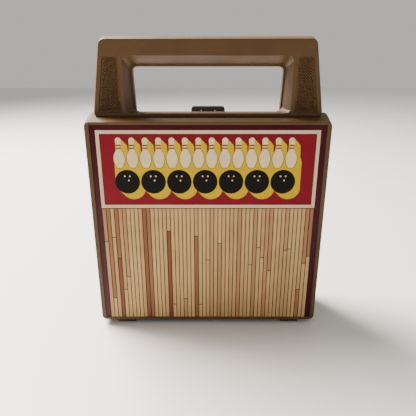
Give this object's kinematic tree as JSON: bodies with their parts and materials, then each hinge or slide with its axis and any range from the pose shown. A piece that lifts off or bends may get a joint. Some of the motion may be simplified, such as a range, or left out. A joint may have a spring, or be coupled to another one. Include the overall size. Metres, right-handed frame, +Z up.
{
  "type": "carry-case bowling game",
  "caption": "Shut plastic carry case with a fixed handle that hinges open flat into a toy bowling lane; its well stores pins and a wind-up walking ball.",
  "frame": {"origin": "middle of the base, on the table", "axes": "+X to the right seen from the front, -Y out of the front face, +Z up"},
  "size_m": [0.1844, 0.05, 0.2274],
  "materials": {
    "tan_plastic": "moulded tan styrene, satin",
    "dark_plastic": "moulded, dark olive brown",
    "printed_paper": "printed and varnished sheet",
    "lane_board": "moulded panel with a printed maple-board pattern",
    "steel": "plated",
    "spring_steel": "blued strip",
    "zinc_plate": "pressed, zinc plated",
    "brass": "stamped",
    "white_plastic": "moulded, off-white",
    "black_plastic": "moulded, glossy black",
    "orange_plastic": "moulded, orange"
  },
  "bodies": {
    "back_case": {"back_shell": "tan_plastic", "back_lane": "lane_board", "storage_rack": "tan_plastic", "hinge_pin_left": "steel", "hinge_pin_right": "steel", "latch_pin": "steel", "back_lane_screw_left": "steel", "back_lane_screw_right": "steel"},
    "front_case": {"front_shell": "tan_plastic", "front_label": "printed_paper", "front_lane": "lane_board", "front_lane_screw_left": "steel", "front_lane_screw_right": "steel"},
    "latch": {"latch": "dark_plastic"},
    "walker": {"ball_shell_left": "black_plastic", "ball_shell_right": "black_plastic", "movement_frame": "zinc_plate", "movement_cover": "zinc_plate", "movement_screw_rear": "steel", "movement_screw_front": "steel", "mainspring": "spring_steel"},
    "winder": {"wind_shaft": "steel", "wind_knob": "white_plastic", "drive_gear": "brass"},
    "idler": {"idler_gear": "brass", "idler_axle": "steel"},
    "crank": {"crank_axle": "steel", "crank_pinion": "brass", "left_crank": "white_plastic", "right_crank": "white_plastic"},
    "left_foot": {"left_foot": "orange_plastic"},
    "right_foot": {"right_foot": "orange_plastic"},
    "pin_1": {"pin_1": "white_plastic"},
    "pin_2": {"pin_2": "white_plastic"},
    "pin_3": {"pin_3": "white_plastic"},
    "pin_4": {"pin_4": "white_plastic"},
    "pin_5": {"pin_5": "white_plastic"},
    "pin_6": {"pin_6": "white_plastic"},
    "pin_7": {"pin_7": "white_plastic"},
    "pin_8": {"pin_8": "white_plastic"},
    "pin_9": {"pin_9": "white_plastic"},
    "pin_10": {"pin_10": "white_plastic"}
  },
  "joints": [
    {"name": "case_hinge", "type": "hinge", "parent": "back_case", "child": "front_case", "pos_m": [0, 0, 0.0016], "axis": [1, 0, 0], "range_deg": [0, 180]},
    {"name": "latch_rock", "type": "hinge", "parent": "back_case", "child": "latch", "pos_m": [0, 0.003, 0.168], "axis": [-1, 0, 0], "range_deg": [0, 12], "stiffness_Nm_per_rad": 0.02},
    {"name": "walker_lift_out", "type": "slide", "parent": "back_case", "child": "walker", "axis": [0, -1, 0], "range_m": [0, 0.004]},
    {"name": "wind_spin", "type": "hinge", "parent": "walker", "child": "winder", "pos_m": [0, 0, 0.1496], "axis": [1, 0, 0], "continuous": true},
    {"name": "idler_spin", "type": "hinge", "parent": "walker", "child": "idler", "pos_m": [0, 0.00708, 0.14312], "axis": [1, 0, 0], "continuous": true},
    {"name": "crank_spin", "type": "hinge", "parent": "walker", "child": "crank", "pos_m": [0, 0, 0.1386], "axis": [1, 0, 0], "continuous": true},
    {"name": "left_foot_swing", "type": "hinge", "parent": "crank", "child": "left_foot", "pos_m": [-0.0092, 0, 0.1401], "axis": [1, 0, 0], "continuous": true},
    {"name": "right_foot_swing", "type": "hinge", "parent": "crank", "child": "right_foot", "pos_m": [0.0092, 0, 0.1371], "axis": [1, 0, 0], "continuous": true},
    {"name": "pin_1_lift_out", "type": "slide", "parent": "back_case", "child": "pin_1", "axis": [0, -1, 0], "range_m": [0, 0.024]},
    {"name": "pin_2_lift_out", "type": "slide", "parent": "back_case", "child": "pin_2", "axis": [0, -1, 0], "range_m": [0, 0.024]},
    {"name": "pin_3_lift_out", "type": "slide", "parent": "back_case", "child": "pin_3", "axis": [0, -1, 0], "range_m": [0, 0.024]},
    {"name": "pin_4_lift_out", "type": "slide", "parent": "back_case", "child": "pin_4", "axis": [0, -1, 0], "range_m": [0, 0.024]},
    {"name": "pin_5_lift_out", "type": "slide", "parent": "back_case", "child": "pin_5", "axis": [0, -1, 0], "range_m": [0, 0.024]},
    {"name": "pin_6_lift_out", "type": "slide", "parent": "back_case", "child": "pin_6", "axis": [0, -1, 0], "range_m": [0, 0.024]},
    {"name": "pin_7_lift_out", "type": "slide", "parent": "back_case", "child": "pin_7", "axis": [0, -1, 0], "range_m": [0, 0.024]},
    {"name": "pin_8_lift_out", "type": "slide", "parent": "back_case", "child": "pin_8", "axis": [0, -1, 0], "range_m": [0, 0.024]},
    {"name": "pin_9_lift_out", "type": "slide", "parent": "back_case", "child": "pin_9", "axis": [0, -1, 0], "range_m": [0, 0.024]},
    {"name": "pin_10_lift_out", "type": "slide", "parent": "back_case", "child": "pin_10", "axis": [0, -1, 0], "range_m": [0, 0.024]}
  ],
  "couplings": [
    {"joint": "idler_spin", "follows": "wind_spin", "ratio": -3},
    {"joint": "crank_spin", "follows": "wind_spin", "ratio": 7.5},
    {"joint": "left_foot_swing", "follows": "wind_spin", "ratio": -7.5},
    {"joint": "right_foot_swing", "follows": "wind_spin", "ratio": -7.5}
  ]
}
